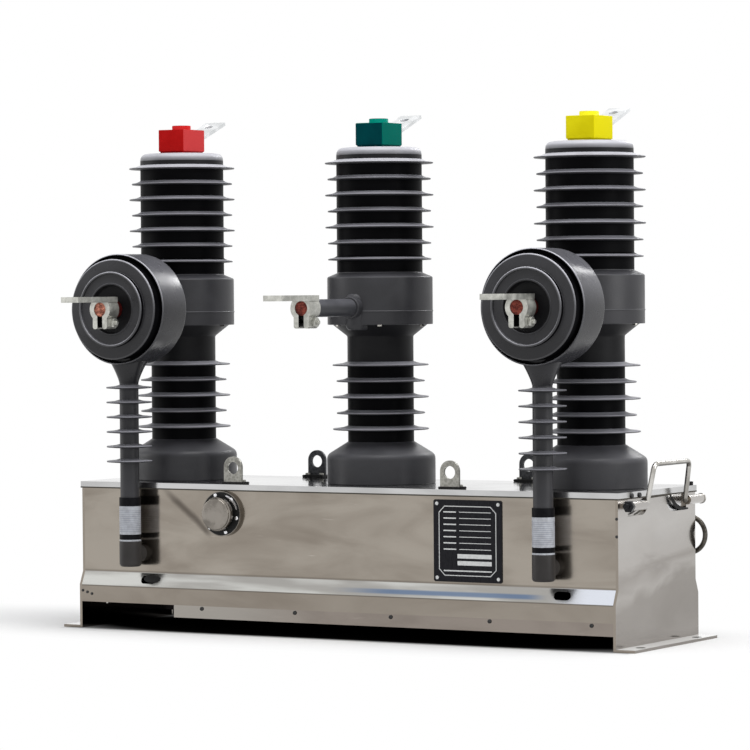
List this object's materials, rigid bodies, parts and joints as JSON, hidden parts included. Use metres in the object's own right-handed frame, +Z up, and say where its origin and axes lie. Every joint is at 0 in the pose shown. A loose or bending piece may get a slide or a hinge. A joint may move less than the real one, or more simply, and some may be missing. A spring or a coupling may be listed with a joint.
{
  "type": "substation circuit breaker",
  "caption": "Outdoor three-phase vacuum circuit breaker: shedded insulator poles with colour caps on a polished steel housing, with ring current transformers on the outer phases.",
  "frame": {"origin": "on the floor plane, at the centre of the four foot holes", "axes": "+X along the row of poles, -Y towards the front with the line bars and transformers, +Z up"},
  "size_m": [0.941, 0.428, 0.7459],
  "materials": {
    "lid_steel": "polished stainless steel",
    "panel_steel": "polished stainless steel sheet, slightly wavy",
    "bottom_steel": "satin stainless steel sheet",
    "lug_zinc": "dull galvanised steel",
    "bright_fittings": "bright stainless steel",
    "plate_black": "black anodised plate with a pale border",
    "cap_red": "satin red moulding",
    "cap_green": "satin dark green moulding",
    "cap_yellow": "satin yellow moulding",
    "terminal_aluminium": "cast and machined aluminium",
    "terminal_tin": "tinned flat bar",
    "rod_copper": "sawn bare copper",
    "sleeve_brown": "dark red heat-shrunk sleeve",
    "insulator_grey": "satin dark grey outdoor resin and silicone"
  },
  "bodies": {
    "breaker": {"back_panel": "panel_steel", "bottom_pan": "bottom_steel", "bottom_plate": "bottom_steel", "end_plate_left": "panel_steel", "end_plate_right": "panel_steel", "front_panel": "panel_steel", "lid": "lid_steel", "lifting_lug_back_left": "lug_zinc", "lifting_lug_back_right": "lug_zinc", "lifting_lug_front_left": "lug_zinc", "lifting_lug_front_right": "lug_zinc", "lower_insulator_a": "insulator_grey", "lower_insulator_b": "insulator_grey", "lower_insulator_c": "insulator_grey", "nameplate": "plate_black", "outlet_sleeve_a": "sleeve_brown", "outlet_sleeve_b": "insulator_grey", "outlet_sleeve_c": "sleeve_brown", "phase_cap_a": "cap_red", "phase_cap_b": "cap_green", "phase_cap_c": "cap_yellow", "pull_ring_eye": "bright_fittings", "socket_cap": "bright_fittings", "socket_flange": "bright_fittings", "terminal_clamp_a": "terminal_aluminium", "terminal_clamp_b": "terminal_aluminium", "terminal_clamp_c": "terminal_aluminium", "terminal_rod_a": "rod_copper", "terminal_rod_b": "rod_copper", "terminal_rod_c": "rod_copper", "top_terminal_a": "terminal_tin", "top_terminal_b": "terminal_tin", "top_terminal_c": "terminal_tin", "transformer_a": "insulator_grey", "transformer_c": "insulator_grey", "transformer_foot_a": "insulator_grey", "transformer_foot_c": "insulator_grey", "transformer_stem_a": "insulator_grey", "transformer_stem_c": "insulator_grey", "upper_insulator_a": "insulator_grey", "upper_insulator_b": "insulator_grey", "upper_insulator_c": "insulator_grey"},
    "handle": {"lift_handle": "bright_fittings"},
    "trip_ring": {"pull_ring": "bright_fittings"}
  },
  "joints": [
    {"name": "handle_turn", "type": "hinge", "parent": "breaker", "child": "handle", "pos_m": [0.455, 0, 0.197], "axis": [0, 1, 0], "range_deg": [-10, 150]},
    {"name": "trip_ring_swing", "type": "hinge", "parent": "breaker", "child": "trip_ring", "pos_m": [0.4265, 0.129, 0.17], "axis": [1, 0, 0], "range_deg": [0, 80]}
  ]
}
